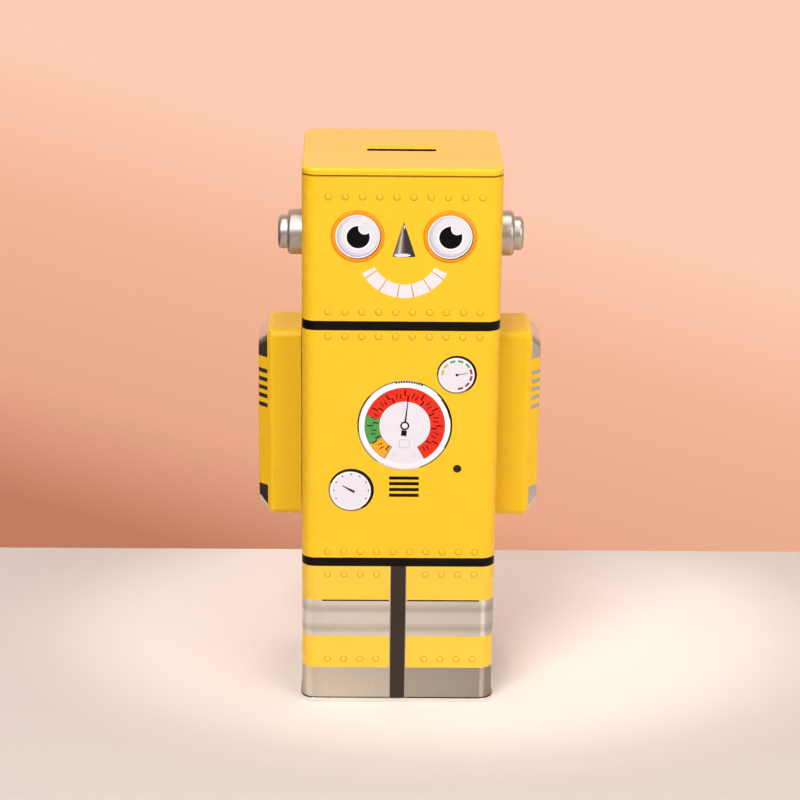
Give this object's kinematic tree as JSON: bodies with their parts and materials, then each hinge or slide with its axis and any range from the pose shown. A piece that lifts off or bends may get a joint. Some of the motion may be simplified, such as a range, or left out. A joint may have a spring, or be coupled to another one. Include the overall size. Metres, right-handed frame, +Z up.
{
  "type": "tin money box",
  "caption": "Robot-shaped tinplate money box with a lift-off slotted lid, pressed ears and arms that swing on rivets.",
  "frame": {"origin": "middle of the bounding box at the height of the base rim", "axes": "+Z up, the face looks towards -Y, and +X is on the right of someone looking at the face"},
  "size_m": [0.1094, 0.068, 0.2161],
  "materials": {
    "litho_tinplate": "gloss",
    "bare_tinplate": "satin",
    "ear_tin": "satin",
    "fastener_steel": "satin"
  },
  "bodies": {
    "tin_body": {"body_shell": "litho_tinplate", "base_pan": "bare_tinplate", "left_ear_cup": "ear_tin", "left_ear_cap": "ear_tin", "left_ear_rivet": "fastener_steel", "left_ear_washer": "fastener_steel", "right_ear_cup": "ear_tin", "right_ear_cap": "ear_tin", "right_ear_rivet": "fastener_steel", "right_ear_washer": "fastener_steel"},
    "lid": {"lid_cap": "litho_tinplate", "lid_collar": "bare_tinplate"},
    "left_arm": {"left_arm_shell": "litho_tinplate", "left_arm_back": "bare_tinplate", "left_arm_rivet": "fastener_steel", "left_arm_spacer": "fastener_steel", "left_arm_spring_washer": "fastener_steel", "left_arm_lock_washer": "fastener_steel"},
    "right_arm": {"right_arm_shell": "litho_tinplate", "right_arm_back": "bare_tinplate", "right_arm_rivet": "fastener_steel", "right_arm_spacer": "fastener_steel", "right_arm_spring_washer": "fastener_steel", "right_arm_lock_washer": "fastener_steel"}
  },
  "joints": [
    {"name": "lid_lift", "type": "slide", "parent": "tin_body", "child": "lid", "axis": [0, 0, 1], "range_m": [0, 0.03]},
    {"name": "left_arm_swing", "type": "hinge", "parent": "tin_body", "child": "left_arm", "pos_m": [-0.0475, 0, 0.1333], "axis": [-1, 0, 0], "range_deg": [-150, 150]},
    {"name": "right_arm_swing", "type": "hinge", "parent": "tin_body", "child": "right_arm", "pos_m": [0.0475, 0, 0.1333], "axis": [-1, 0, 0], "range_deg": [-150, 150]}
  ]
}
